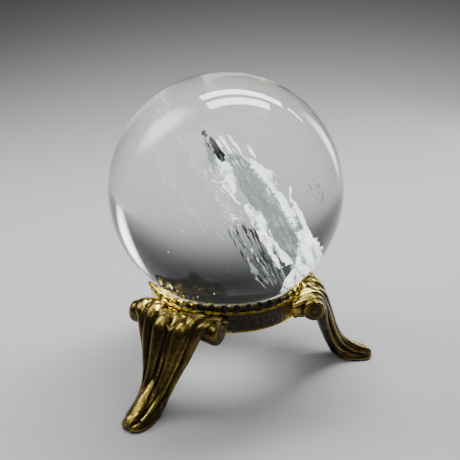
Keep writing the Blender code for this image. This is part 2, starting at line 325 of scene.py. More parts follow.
# ---- materials ----
class Nodes:
    """Short names for building the node tree of a material, a lamp or the world."""

    def __init__(self, owner, shader="Principled BSDF"):
        owner.use_nodes = True
        self.owner = owner
        self.tree = owner.node_tree
        self.shader = self.tree.nodes[shader]

    def node(self, kind, values=(), **settings):
        """A node with these settings, and these values on its named inputs."""
        made = self.tree.nodes.new(kind)
        for key, value in settings.items():
            setattr(made, key, value)
        for key, value in dict(values).items():
            made.inputs[key].default_value = value
        return made

    def link(self, output, target):
        self.tree.links.new(output, target)

    def feed(self, key, output):
        """Link an output to one of the shader's own sockets."""
        self.link(output, self.shader.inputs[key])

    def set(self, **values):
        """Uniform values on the shader's own sockets, with underscores for spaces."""
        for key, value in values.items():
            self.shader.inputs[key.replace("_", " ")].default_value = value

    def place(self):
        """Object coordinates."""
        return self.node("ShaderNodeTexCoord").outputs["Object"]

    def part(self, vector, axis):
        """One axis of a vector."""
        made = self.node("ShaderNodeSeparateXYZ")
        self.link(vector, made.inputs[0])
        return made.outputs[axis]

    def vector(self, operation, source, other=(0, 0, 0)):
        """The node of a calculation on a vector and a fixed one."""
        made = self.node("ShaderNodeVectorMath", operation=operation)
        self.link(source, made.inputs[0])
        made.inputs[1].default_value = other
        return made

    def noise(self, scale, detail=4.0, roughness=0.6, distortion=0.0, axes=None, stretch=1.0):
        """Noise on Object coordinates, drawn out along the first column of axes if given."""
        made = self.node("ShaderNodeTexNoise", {"Scale": scale, "Detail": detail,
                                                "Roughness": roughness, "Distortion": distortion})
        source = self.place()
        if axes is not None:
            turned = self.node("ShaderNodeMapping", {"Rotation": axes.to_euler(),
                                                     "Scale": (stretch, 1.0, 1.0)},
                               vector_type="TEXTURE")
            self.link(source, turned.inputs["Vector"])
            source = turned.outputs["Vector"]
        self.link(source, made.inputs["Vector"])
        return made.outputs["Fac"]

    def cells(self, scale):
        """Distance to the nearest of many scattered points."""
        made = self.node("ShaderNodeTexVoronoi", {"Scale": scale})
        self.link(self.place(), made.inputs["Vector"])
        return made.outputs["Distance"]

    def math(self, operation, first, second, clamp=False):
        """Arithmetic on two values, which are numbers or sockets."""
        made = self.node("ShaderNodeMath", operation=operation, use_clamp=clamp)
        for slot, value in zip(made.inputs, (first, second)):
            if isinstance(value, (int, float)):
                slot.default_value = value
            else:
                self.link(value, slot)
        return made.outputs[0]

    def swing(self, value, gain):
        """A value from 0 to 1 as one that swings about 0."""
        return self.math("MULTIPLY", self.math("SUBTRACT", value, 0.5), gain)

    def total(self, *values):
        """The sum of some values."""
        result = values[0]
        for value in values[1:]:
            result = self.math("ADD", result, value)
        return result

    def ramp(self, value, stops, interpolation="LINEAR"):
        """A colour for a value, from stops of (place, colour)."""
        made = self.node("ShaderNodeValToRGB")
        made.color_ramp.interpolation = interpolation
        elements = made.color_ramp.elements
        while len(elements) < len(stops):
            elements.new(0.5)
        for element, (place, colour) in zip(elements, stops):
            element.position = place
            element.color = (*colour, 1.0)
        self.link(value, made.inputs["Fac"])
        return made.outputs["Color"]

    def span(self, value, low, high, to_low=0.0, to_high=1.0, **settings):
        """A value mapped from low..high to to_low..to_high, and held at the ends."""
        made = self.node("ShaderNodeMapRange", **settings)
        for slot, number in zip(list(made.inputs)[1:5], (low, high, to_low, to_high)):
            slot.default_value = number
        self.link(value, made.inputs["Value"])
        return made.outputs["Result"]

    def bump(self, height, strength, distance, under=None):
        """A bumped normal, on top of another one if under is given."""
        made = self.node("ShaderNodeBump", {"Strength": strength, "Distance": distance})
        self.link(height, made.inputs["Height"])
        if under is not None:
            self.link(under, made.inputs["Normal"])
        return made.outputs["Normal"]


def painted_light_share(nodes, painted_light_at):
    """Painted light: the lift of the tone that paints a highlight on the stand's sides or near
    the collar; see antique_gold.
    """
    from_axis = nodes.vector("SUBTRACT", nodes.place(), AXIS).outputs["Vector"]
    # painted highlight on the two sides of the collar and beads; their front keeps a painted
    # shade
    if painted_light_at == "sides":
        side = nodes.vector("DOT_PRODUCT", from_axis, PAINTED_SIDE_LIGHT_DIRECTION).outputs["Value"]
        return nodes.span(nodes.math("ABSOLUTE", side, 0.0), *PAINTED_SIDE_LIGHT_REACH, 0.0, PAINTED_SIDE_LIGHT_GAIN)
    # painted highlight on each leg near the collar; lower down the leg keeps a painted shade
    flat = nodes.vector("MULTIPLY", from_axis, (1.0, 1.0, 0.0)).outputs["Vector"]
    reach = nodes.vector("LENGTH", flat).outputs["Value"]
    return nodes.span(reach, *PAINTED_ROOT_LIGHT_REACH, 0.0, PAINTED_ROOT_LIGHT_GAIN)


def antique_gold(name, wear, tones, cloud, painted_light_at):
    """Gilt casting: rubbed metal on the high spots over a brown-black patina in the hollows.

    tones are the colours from the deepest hollow to the barest ridge, and cloud is how patchy
    they are. Faces that look up get a lighter tone, and faces that look down a darker one. The
    last argument says where painted light is laid on: a painted highlight on the two "sides" of
    the stand, with painted shade left on its front, or one near the collar, at a leg's "root",
    with painted shade left on the lower leg.
    """
    nodes = Nodes(bpy.data.materials.new(name))
    relief = nodes.node("ShaderNodeAttribute", attribute_name="relief").outputs["Fac"]
    clouds = nodes.noise(230.0, detail=5.0, distortion=0.5)
    grains = nodes.noise(1700.0, detail=3.0)
    upward = nodes.part(nodes.node("ShaderNodeNewGeometry").outputs["Normal"], "Z")
    mask = nodes.total(nodes.math("MULTIPLY", relief, RELIEF_SHARE),
                       nodes.swing(clouds, cloud),
                       nodes.swing(grains, GRAIN_SHARE),
                       # faces that look up are made lighter, and faces that look down darker
                       nodes.math("MULTIPLY", upward, UPWARD_SHARE),
                       # painted light: the lift on the stand's sides or near the collar
                       painted_light_share(nodes, painted_light_at))
    mask = nodes.math("ADD", mask, wear, clamp=True)
    nodes.feed("Base Color", nodes.ramp(mask, list(zip(TONE_STEPS, tones))))
    nodes.feed("Metallic", nodes.span(mask, 0.15, 0.45, 0.6, 1.0))
    smears = nodes.noise(480.0, detail=3.0, roughness=0.5)
    nodes.feed("Roughness", nodes.total(nodes.span(mask, 0.1, 0.95, 0.36, 0.20),
                                        nodes.swing(smears, 0.2)))
    fine = nodes.bump(nodes.noise(2400.0, roughness=0.65), strength=0.25, distance=0.00005)
    pits = nodes.span(nodes.cells(1300.0), 0.0, 0.32)
    nodes.feed("Normal", nodes.bump(pits, strength=0.25, distance=0.00006, under=fine))
    return nodes.owner


def turned_brass(name):
    """Bright brass with darker clouds and a fine grain."""
    nodes = Nodes(bpy.data.materials.new(name))
    clouds = nodes.noise(700.0)
    nodes.feed("Base Color", nodes.ramp(clouds, [(0.3, (0.30, 0.19, 0.05)),
                                                 (0.7, (0.80, 0.58, 0.20))]))
    nodes.feed("Roughness", nodes.span(clouds, 0.3, 0.7, 0.42, 0.26))
    grain = nodes.noise(4200.0, detail=3.0)
    nodes.feed("Normal", nodes.bump(grain, strength=0.2, distance=0.00004))
    nodes.set(Metallic=1.0)
    return nodes.owner


def clear_quartz(name):
    """Clear quartz with a smoky tint in slow clouds, which sets the white flakes off."""
    nodes = Nodes(bpy.data.materials.new(name))
    clouds = nodes.noise(60.0, detail=3.0, roughness=0.5, distortion=0.3)
    nodes.feed("Base Color", nodes.ramp(clouds, [(0.35, (0.800, 0.818, 0.818)),
                                                 (0.7, (0.860, 0.874, 0.872))]))
    nodes.set(Roughness=0.0, IOR=QUARTZ_IOR, Transmission_Weight=1.0)
    return nodes.owner


def veil_material(name, dark, light, cover, emission=0.0):
    """A cleavage veil: streaks down the plane's slope, broken up by small flakes.

    dark and light are its tones, and cover is its opacity in the thin and the full places.
    emission is a painted glow that makes it stand out in a ball that shows a pale floor.
    """
    nodes = Nodes(bpy.data.materials.new(name))
    axes = Matrix((PLANE_ALONG, PLANE_ACROSS, PLANE_OUT)).transposed()
    streaks = nodes.noise(900.0, detail=6.0, roughness=0.62, distortion=0.5, axes=axes,
                          stretch=3.5)
    flakes = nodes.noise(1500.0, roughness=0.65)
    blend = nodes.total(nodes.math("MULTIPLY", streaks, 0.75),
                        nodes.math("MULTIPLY", flakes, 0.25))
    colour = nodes.ramp(blend, [(0.40, dark), (0.53, light), (0.68, (1.0, 1.0, 1.0))])
    nodes.feed("Base Color", colour)
    nodes.feed("Alpha", nodes.span(blend, 0.38, 0.52, *cover))
    nodes.feed("Roughness", nodes.span(flakes, 0.3, 0.7, 0.16, 0.42))
    nodes.feed("Normal", nodes.bump(streaks, strength=0.6, distance=0.0004))
    # painted glow: the veil gives off light though it is no lamp
    if emission:
        nodes.feed("Emission Color", colour)
        nodes.set(Emission_Strength=emission)
    return nodes.owner


def stage_material():
    """Plain paper: pale on the floor, and a little greyer up the backdrop."""
    nodes = Nodes(bpy.data.materials.new("stage_paper"))
    depth = nodes.span(nodes.part(nodes.place(), "Y"), *FADE_DEPTH)
    nodes.feed("Base Color", nodes.ramp(depth, [(0.0, FLOOR_GREY), (1.0, BACKDROP_GREY)], "EASE"))
    nodes.set(Roughness=0.85)
    return nodes.owner


# ---- the ball ----
def build_ball():
    """The polished ball, round enough to refract cleanly."""
    sphere = bmesh.new()
    bmesh.ops.create_icosphere(sphere, subdivisions=BALL_SUBDIVISIONS, radius=BALL_R)
    mesh = bpy.data.meshes.new("quartz_ball")
    sphere.to_mesh(mesh)
    sphere.free()
    ball = bpy.data.objects.new("quartz_ball", mesh)
    ball.location = BALL_CENTRE
    bpy.context.scene.collection.objects.link(ball)
    dress(ball, clear_quartz("clear_quartz"))
    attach(ball, "ball")
    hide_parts("crystal_ball")


# ---- the fractures inside the ball ----
# They lie along one cleavage plane. Places are in millimetres on it: down along the plane's
# slope, up across it, and off it, from a point beside the ball's centre.
PLANE_ALONG = Vector((0.50, -0.10, -0.80)).normalized()
ROUGHLY_ACROSS = Vector((0.80, 0.25, 0.50))
PLANE_ACROSS = (ROUGHLY_ACROSS - PLANE_ALONG * PLANE_ALONG.dot(ROUGHLY_ACROSS)).normalized()
PLANE_OUT = PLANE_ALONG.cross(PLANE_ACROSS)
PLANE_ORIGIN = BALL_CENTRE + Vector((2.0, 0.0, -1.0)) * MM


def on_plane(along, across, off):
    """The place in metres of a spot in the plane's own millimetres."""
    return PLANE_ORIGIN + (PLANE_ALONG * along + PLANE_ACROSS * across + PLANE_OUT * off) * MM


class Flakes:
    """Thin closed slivers and sheets with ragged edges, gathered into one mesh."""

    SLIVER_LOOPS = (1.0, 0.55)    # the rim and the loop inside it, as shares of the size
    RIM_THICKNESS = 0.2           # share of a sliver's thickness at its rim
    TAPER = 0.35                  # share by which a sliver is wider above, narrower below
    WAVE = 0.05                   # unevenness off the plane, as a share of the width
    SHEET_STEPS = 5               # rows between two given rows
    SHEET_THICK = 0.04            # half of a sheet's thickness
    SHEET_EDGE = 0.15             # share of a sheet's thickness at its long edges
    EDGE_PITCH = 1.9              # noise steps for each millimetre along a ragged edge
    CRUMPLE_STRETCH = 1.7         # how much finer the crumple is across than along
    SLIP = 0.35                   # share of the crumple that goes along the plane

    def __init__(self, seed):
        self.points = []
        self.faces = []
        self.rng = np.random.default_rng(seed)

    def sliver(self, along, across, length, width, lean, off, tilt, jag, thick=0.05, corners=18):
        """A ragged flake, wider at its upper end, which leans across the plane's slope."""
        rng = self.rng
        start = len(self.points)
        lean_turn = math.radians(lean)
        layers = ([], [])
        for share in self.SLIVER_LOOPS:
            on_rim = share == 1.0
            for i in range(corners):
                turn = 2 * math.pi * i / corners
                reach = share * (1 + jag * rng.uniform(-1, 1) * on_rim)
                x = -math.cos(turn) * length / 2 * share
                taper = 1.0 - self.TAPER * math.cos(turn + math.pi)
                y = math.sin(turn) * width / 2 * taper * reach
                bend = rng.normal(0, self.WAVE) * width
                for layer, side in zip(layers, (1, -1)):
                    height = side * thick * (self.RIM_THICKNESS if on_rim else 1.0) + bend
                    layer.append(self.lay(x, y, height, along, across, off, lean_turn, tilt))
        for layer, side in zip(layers, (1, -1)):
            layer.append(self.lay(0, 0, side * thick, along, across, off, lean_turn, tilt))
        self.points += layers[0] + layers[1]
        size = 2 * corners + 1
        for i in range(corners):
            j = (i + 1) % corners
            for base, flip in ((start, False), (start + size, True)):
                quad = (base + i, base + j, base + corners + j, base + corners + i)
                cap = (base + corners + i, base + corners + j, base + 2 * corners)
                self.faces += [quad[::-1], cap[::-1]] if flip else [quad, cap]
            self.faces.append((start + j, start + i, start + size + i, start + size + j))

    def lay(self, x, y, height, along, across, off, lean, tilt):
        """A spot of a sliver, turned in the plane by lean and sloped off it by tilt."""
        u = along + x * math.cos(lean) - y * math.sin(lean)
        v = across + x * math.sin(lean) + y * math.cos(lean)
        return on_plane(u, v, off + height + tilt * (v - across))

    def swarm(self, count, low, high, length, width, lean=(-8, 8), off=0.9, tilt=0.5, jag=0.35):
        """Many slivers scattered over a patch of the plane from low to high (along, across)."""
        rng = self.rng
        for _ in range(count):
            share, side = rng.uniform(0, 1), rng.uniform(0, 1)
            along = low[0] + (high[0] - low[0]) * share
            across = low[1] + (high[1] - low[1]) * side
            size = rng.uniform(0.4, 1.0)
            self.sliver(along, across, size * rng.uniform(*length), size * rng.uniform(*width),
                        rng.uniform(*lean), rng.uniform(-off, off), rng.uniform(-tilt, tilt),
                        jag, thick=0.03, corners=12)

    def sheet(self, rows, jag, crumple, cells=14, grain=1.6):
        """A crumpled sheet through rows of (along, lower across, upper across, off)."""
        rows = smooth_rows(rows, self.SHEET_STEPS)
        start = len(self.points)
        count = cells + 1
        seed = Vector(self.rng.uniform(-50, 50, 3))
        layers = ([], [])
        for along, low, high, off in rows:
            wave = along * self.EDGE_PITCH
            ragged_low = low + jag * noise.fractal(Vector((wave, 0, 0)) + seed, *EDGE_NOISE)
            ragged_high = high + jag * noise.fractal(Vector((wave, 9, 0)) + seed, *EDGE_NOISE)
            for cell in range(count):
                share = cell / cells
                across = ragged_low + (ragged_high - ragged_low) * share
                spot = Vector((along / grain, across / grain * self.CRUMPLE_STRETCH, 0)) + seed
                height = off + crumple * noise.fractal(spot, *CRUMPLE_NOISE)
                edge = self.SHEET_EDGE if cell in (0, cells) else 1.0
                slip = self.SLIP * crumple * noise.noise(spot * 3.0)
                for layer, side in zip(layers, (1, -1)):
                    lift = side * self.SHEET_THICK * edge
                    layer.append(on_plane(along + slip, across, height + lift))
        self.points += layers[0] + layers[1]
        size = len(rows) * count
        last = len(rows) - 1
        for row in range(last):
            for cell in range(cells):
                near = start + row * count + cell
                far = near + count
                self.faces.append((near, near + 1, far + 1, far))
                self.faces.append((near + size, far + size, far + 1 + size, near + 1 + size))
        rim = (list(range(cells)) + [row * count + cells for row in range(last)]
               + [last * count + cell for cell in range(cells, 0, -1)]
               + [row * count for row in range(last, 0, -1)])
        for here, after in zip(rim, rim[1:] + rim[:1]):
            here += start
            after += start
            self.faces.append((after, here, here + size, after + size))

    def make(self, name, material):
        """The object, with its faces turned to look outwards."""
        obj = new_object(name, self.points, [face[::-1] for face in self.faces])
        dress(obj, material)
        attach(obj, "ball")


def build_fractures():
    """White flakes, a grey film behind them and dark shards, whose near black is painted
    reflection, each as one piece.
    """
    # the white flakes and the grey film glow with painted light
    white = veil_material("veil_white", (0.20, 0.24, 0.24), (0.90, 0.94, 0.94), (0.35, 1.0), 2.3)
    grey = veil_material("veil_grey", (0.20, 0.24, 0.23), (0.48, 0.56, 0.54), (0.12, 0.60), 0.35)
    # painted reflection: the shards are coloured near black for the dark surroundings they
    # reflect
    dark = veil_material("veil_painted_dark", (0.006, 0.006, 0.006), (0.03, 0.028, 0.024), (0.80, 1.0))

    bright = Flakes(31)
    # the large flake under the dark one, and its tail
    bright.sheet([(-7.3, 0.0, 0.5, 0), (-6.2, -0.3, 1.4, 0.1), (-4.6, -0.5, 1.7, 0.2),
                  (-2.6, -0.4, 1.0, 0.1), (-0.9, -0.3, 0.4, 0)], jag=0.4, crumple=0.2)
    bright.sheet([(-3.2, -1.3, -1.0, 0.3), (-1.6, -1.1, -0.7, 0.4), (0.2, -0.8, -0.4, 0.3),
                  (1.4, -0.3, -0.2, 0.2)], jag=0.2, crumple=0.2)
    # thin streaks at the top
    for along, across, length, width in ((-8.6, 2.9, 3.4, 0.4), (-7.4, 4.2, 5.2, 0.42),
                                         (-5.3, 5.9, 2.8, 0.55), (-9.2, 1.9, 2.2, 0.3),
                                         (-7.2, 1.9, 2.0, 0.35)):
        bright.sliver(along, across, length, width, lean=4, off=0.2, tilt=0.3, jag=0.5)
    # the upper chain, from the middle down to the right-hand edge
    bright.sheet([(-4.6, 4.9, 5.2, 0.2), (-3.2, 4.6, 5.8, 0.3), (-1.4, 4.8, 6.6, 0.4),
                  (0.4, 5.2, 6.5, 0.3), (1.9, 5.4, 6.0, 0.3), (3.4, 5.4, 6.6, 0.4),
                  (5.4, 5.4, 6.7, 0.4), (7.4, 5.5, 6.5, 0.2), (9.2, 5.9, 6.2, 0.1)],
                 jag=0.5, crumple=0.35)
    bright.sheet([(4.9, 7.4, 7.6, 0.2), (7.2, 7.0, 7.8, 0.2), (9.8, 6.7, 7.4, 0.1),
                  (12.0, 7.0, 7.4, 0.0)], jag=0.3, crumple=0.2)
    bright.sliver(3.9, 7.9, 3.4, 0.28, lean=-32, off=0.1, tilt=0.2, jag=0.5)
    bright.sliver(-0.4, 7.0, 1.6, 0.5, lean=20, off=0.1, tilt=0.3, jag=0.6)
    # the lower chain
    bright.sheet([(1.7, 0.0, 0.4, 0.0), (3.0, -0.1, 0.8, 0.1), (4.7, 0.0, 0.5, 0.0)],
                 jag=0.25, crumple=0.15)
    bright.sheet([(3.4, 0.9, 1.4, 0.2), (4.8, 0.5, 1.9, 0.3), (6.3, 0.2, 1.6, 0.2),
                  (7.6, 0.0, 0.6, 0.1)], jag=0.35, crumple=0.3)
    bright.sheet([(5.4, -0.6, -0.3, 0.1), (7.6, -0.5, 0.2, 0.2), (10.0, -0.5, 0.2, 0.3),
                  (12.2, -0.5, 0.1, 0.2), (14.0, -0.4, 0.3, 0.1)], jag=0.25, crumple=0.2)
    bright.sheet([(7.2, 0.4, 0.8, 0.4), (9.4, 0.5, 1.4, 0.5), (11.8, 0.7, 1.8, 0.4),
                  (14.2, 1.0, 2.4, 0.2)], jag=0.35, crumple=0.3)
    # the wide white fan at the ball's edge
    bright.sheet([(10.2, 5.2, 6.6, 0.3), (12.2, 4.4, 7.4, 0.4), (14.0, 3.2, 7.8, 0.4),
                  (15.6, 1.0, 7.9, 0.2), (17.4, -1.4, 7.2, 0.0), (19.4, -2.2, 6.0, -0.2),
                  (21.4, -1.6, 4.6, -0.4), (22.8, -0.6, 3.0, -0.6)],
                 jag=0.6, crumple=0.5, cells=26)
    # small flakes round the chains and the fan, and specks all through the ball
    bright.swarm(44, (-7, -3.4), (4, -0.6), (0.5, 1.6), (0.06, 0.17), lean=(-25, 40))
    bright.swarm(14, (-9, -0.8), (-1, 1.6), (0.8, 2.2), (0.10, 0.26))
    bright.swarm(34, (2, -0.2), (12, 1.8), (0.8, 2.6), (0.12, 0.34))
    bright.swarm(18, (-10, 1.4), (-4, 5.2), (1.4, 3.2), (0.10, 0.24), lean=(-4, 10))
    bright.swarm(44, (-4, 5.0), (12, 6.8), (0.8, 2.6), (0.12, 0.34))
    bright.swarm(34, (12, 0.0), (20, 7.0), (0.8, 2.4), (0.2, 0.6), lean=(-20, 20), off=1.2)
    bright.swarm(16, (4, -5.0), (15, -1.6), (0.5, 1.8), (0.08, 0.2))
    bright.swarm(60, (-16, -16), (16, 16), (0.12, 0.35), (0.06, 0.14), lean=(-90, 90), off=10)
    bright.make("fracture_bright", white)

    film = Flakes(32)
    film.sheet([(-7.0, 2.2, 3.2, -0.6), (-4.6, 1.4, 4.6, -0.6), (-1.6, 1.0, 5.0, -0.5),
                (1.6, 1.2, 5.4, -0.5), (5.0, 1.4, 6.2, -0.5), (8.6, 1.4, 6.4, -0.6),
                (12.0, 1.8, 6.4, -0.6), (15.0, 1.6, 5.6, -0.7)],
               jag=0.4, crumple=0.3, cells=24, grain=3.0)
    film.sheet([(-11.4, 0.2, 0.6, -0.6), (-9.4, -0.4, 0.6, -0.6), (-7.0, -0.9, 0.2, -0.5),
                (-5.4, -0.9, -0.4, -0.5)], jag=0.3, crumple=0.2, grain=2.4)
    film.swarm(14, (3.0, 10.8), (8.0, 12.4), (0.8, 2.4), (0.15, 0.4), lean=(-30, 30), off=0.8,
               tilt=0.6)
    film.swarm(40, (4, -4.4), (17, 0.0), (1.8, 4.6), (0.2, 0.6), lean=(-10, 10), off=1.4,
               tilt=0.8)
    film.make("fracture_film", grey)

    # the dark shards, coloured near black as painted reflection
    shards = Flakes(33)
    shards.sliver(-12.0, 0.8, 1.3, 0.9, lean=20, off=0.0, tilt=0.3, jag=0.5)
    shards.sheet([(-11.2, 1.2, 1.5, 0.1), (-9.6, 0.6, 1.7, 0.2), (-7.8, 0.5, 1.8, 0.2),
                  (-6.4, 0.6, 1.3, 0.1)], jag=0.4, crumple=0.25)
    shards.sliver(-9.9, 0.3, 1.6, 0.35, lean=0, off=0.2, tilt=0.2, jag=0.5)
    shards.swarm(60, (4.5, -4.4), (16.5, -0.7), (2.2, 5.6), (0.12, 0.42), lean=(-12, 12),
                 off=1.0, tilt=0.6, jag=0.6)
    shards.make("fracture_painted_dark", dark)


# ---- the collar and its beads ----
def ring_object(name, sections):
    """A closed ring from sections of (radius, height) points, one per angle, in millimetres."""
    count = len(sections)
    rings = []
    for i, section in enumerate(sections):
        angle = 2 * math.pi * i / count
        rings.append([AXIS + Vector((r * math.cos(angle), r * math.sin(angle), z)) * MM
                      for r, z in section])
    faces = [face[::-1] for face in skin(rings, closed=True)]
    return new_object(name, [p for ring in rings for p in ring], faces)


def rounded_outline(corners, radius):
    """A closed outline with each corner replaced by a short curve."""
    steps = 4
    most = 0.4          # share of a side that a corner's curve may take
    outline = []
    count = len(corners)
    for i, corner in enumerate(corners):
        here = np.array(corner, float)
        before = np.array(corners[i - 1], float) - here
        after = np.array(corners[(i + 1) % count], float) - here
        reach = min(radius, np.linalg.norm(before) * most, np.linalg.norm(after) * most)
        start = here + before / np.linalg.norm(before) * reach
        end = here + after / np.linalg.norm(after) * reach
        for step in range(steps + 1):
            t = step / steps
            outline.append((1 - t) ** 2 * start + 2 * t * (1 - t) * here + t ** 2 * end)
    return outline


def even_outline(outline, spacing):
    """The same closed outline with extra points on its long sides."""
    points = []
    for here, after in zip(outline, [*outline[1:], outline[0]]):
        parts = max(1, round(np.linalg.norm(np.subtract(after, here)) / spacing))
        for part in range(parts):
            points.append(np.array(here) + (np.array(after) - here) * part / parts)
    return points


def build_collar():
    """The pitted band: a wall that narrows upwards, a ledge for the beads, and a lip."""
    ledge = COLLAR_TOP - 1.5
    wall_top_r = COLLAR_R - 0.5
    lip_r = COLLAR_R - 1.7
    bore_r = COLLAR_R - 2.2
    lip_slope = 0.3
    corners = [(COLLAR_R, COLLAR_BOTTOM), (wall_top_r, ledge), (lip_r, ledge),
               (lip_r, COLLAR_TOP), (bore_r, COLLAR_TOP - lip_slope), (bore_r, COLLAR_BOTTOM)]
    section = even_outline(rounded_outline(corners, radius=0.3), spacing=0.22)
    sections_round = 620
    collar = ring_object("beaded_collar", [section] * sections_round)
    roughen(collar, amount=0.05, size=2.4, seed=3, pits=420, pit_size=(0.2, 0.5), pit_depth=0.10)
    mark_relief(collar, rounds=14, gain=9.0)
    # painted light: the collar is painted bright at its sides and dark in painted shade at its
    # front
    dress(collar, antique_gold("collar_gilt", -0.62, GOLD_TONES, 0.35, "sides"))
    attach(collar, "stand")
    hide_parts("collar_ring")


def build_beads():
    """A beaded wire: cast beads of slightly uneven size on a thin round wire."""
    rng = np.random.default_rng(11)
    steps_per_bead, sides = 22, 18
    bead_r = 0.98
    wire_r = 0.45
    circle_r = BEAD_OUTER_R - bead_r
    pitch = 2 * math.pi / BEAD_COUNT
    sections = []
    for _ in range(BEAD_COUNT):
        size = bead_r * rng.uniform(0.9, 1.03)
        rise = rng.uniform(-0.08, 0.08)
        for step in range(steps_per_bead):
            along = (step / steps_per_bead - 0.5) * pitch * circle_r
            swell = size * math.sqrt(max(0.0, 1 - (along / size) ** 2))
            thick = (swell ** 4 + wire_r ** 4) ** 0.25      # bead and wire run into each other
            share = max(0.0, 1 - abs(along) / size)
            sections.append([
                (circle_r + thick * math.cos(2 * math.pi * s / sides),
                 BEAD_MID + rise * share + thick * math.sin(2 * math.pi * s / sides))
                for s in range(sides)
            ])
    beads = ring_object("pearl_rim", sections)
    roughen(beads, amount=0.05, size=0.9, seed=5)
    mark_relief(beads, rounds=12, gain=-3.0)      # painted reflection: the beads are darker and the gaps between them lighter
    # painted light: the beads are painted bright at the sides and dark in painted shade at the
    # front
    dress(beads, antique_gold("bead_gilt", -0.36, GOLD_TONES, 0.6, "sides"))
    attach(beads, "stand")
    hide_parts("bead_rim")


# ---- the legs ----
ROLL = (22.6, 19.4)         # centre of the cross roll: out, up
ROLL_END = 12.9             # half the length of the cross roll

# core of the leg: outer point, inner point (out, up) and half width
CORE = [
    (20.6, 20.8, 20.6, 17.2, 6.0),
    (22.2, 21.2, 21.3, 16.8, 6.2),
    (24.0, 20.9, 22.4, 16.2, 6.4),
    (25.6, 19.6, 23.4, 15.2, 6.5),
    (27.0, 17.4, 24.1, 14.0, 6.4),
    (28.1, 14.9, 24.8, 12.4, 6.0),
    (29.3, 11.8, 25.7, 10.3, 5.2),
    (30.8, 8.1, 26.9, 7.5, 4.2),
    (32.6, 5.4, 28.5, 4.2, 3.5),
    (34.8, 3.7, 30.4, 1.5, 3.3),
    (37.5, 2.6, 34.2, 0.0, 3.2),
    (39.3, 2.1, 37.6, 0.0, 2.9),
    (40.7, 1.8, 40.0, 0.3, 2.3),
    (41.5, 1.3, 41.4, 0.8, 1.1),
]
FLANK = CORE[4:10]          # where side reeds run, from the knee down to the instep
# the casting's ornament leans to one side at the knee and to the other at the instep
LEAN_REACH = (20.0, 24.0, 27.0, 29.5, 32.0, 36.0, 41.5)
LEAN_SHIFT = (1.0, 1.3, 1.2, 0.7, 0.0, -0.5, 0.0)


def leaned(rows):
    """Rows of (out, across, up, ...) moved sideways with the casting's ornament."""
    return [(row[0], row[1] + np.interp(row[0], LEAN_REACH, LEAN_SHIFT), *row[2:])
            for row in rows]


def mirrored(rows, side):
    """Rows of (out, across, up, ...) on one side (1) or the other (-1)."""
    return [(row[0], side * row[1], *row[2:]) for row in rows]


def leg_core(shape):
    """The leg's plain body, which the ornament is welded to."""
    out, across = squared_circle(40, squareness=2.8)
    rings = []
    for outer_r, outer_z, inner_r, inner_z, width in smooth_rows(CORE, 5):
        middle = np.array(((outer_r + inner_r) / 2, 0, (outer_z + inner_z) / 2))
        thick = np.array(((outer_r - inner_r) / 2, 0, (outer_z - inner_z) / 2))
        ring = [middle + thick * o + np.array((0, width * a, 0)) for o, a in zip(out, across)]
        rings.append([np.array((p[0], p[1], max(p[2], 0.0))) for p in ring])
    shape.add(rings)


def leg_roll(shape, side):
    """Half of the cross roll: a plain drum that widens to a volute on its end."""
    profile = [(0.0, 2.3), (7.6, 2.4), (8.4, 2.7), (9.6, 2.8), (ROLL_END - 1.2, 2.9),
               (ROLL_END - 0.5, 2.7), (ROLL_END - 0.15, 2.25), (ROLL_END, 1.4)]
    shape.turned(ROLL, [(side * y, r) for y, r in profile])
    rows = []
    steps = 44
    start, turns = math.radians(80), 1.45
    for step in range(steps):
        share = step / (steps - 1)
        angle = start - 2 * math.pi * turns * share
        radius = 2.4 - 1.8 * share
        size = 0.30 - 0.06 * share
        rows.append((ROLL[0] + radius * math.cos(angle),
                     side * (ROLL_END - 0.35 + 0.3 * share),
                     ROLL[1] + radius * math.sin(angle), size, size))
    shape.tube(rows, steps=1, sides=12)
    shape.turned(ROLL, [(side * (ROLL_END - 0.6), 0.85), (side * (ROLL_END + 0.05), 0.8),
                        (side * (ROLL_END + 0.3), 0.45)], sides=18)


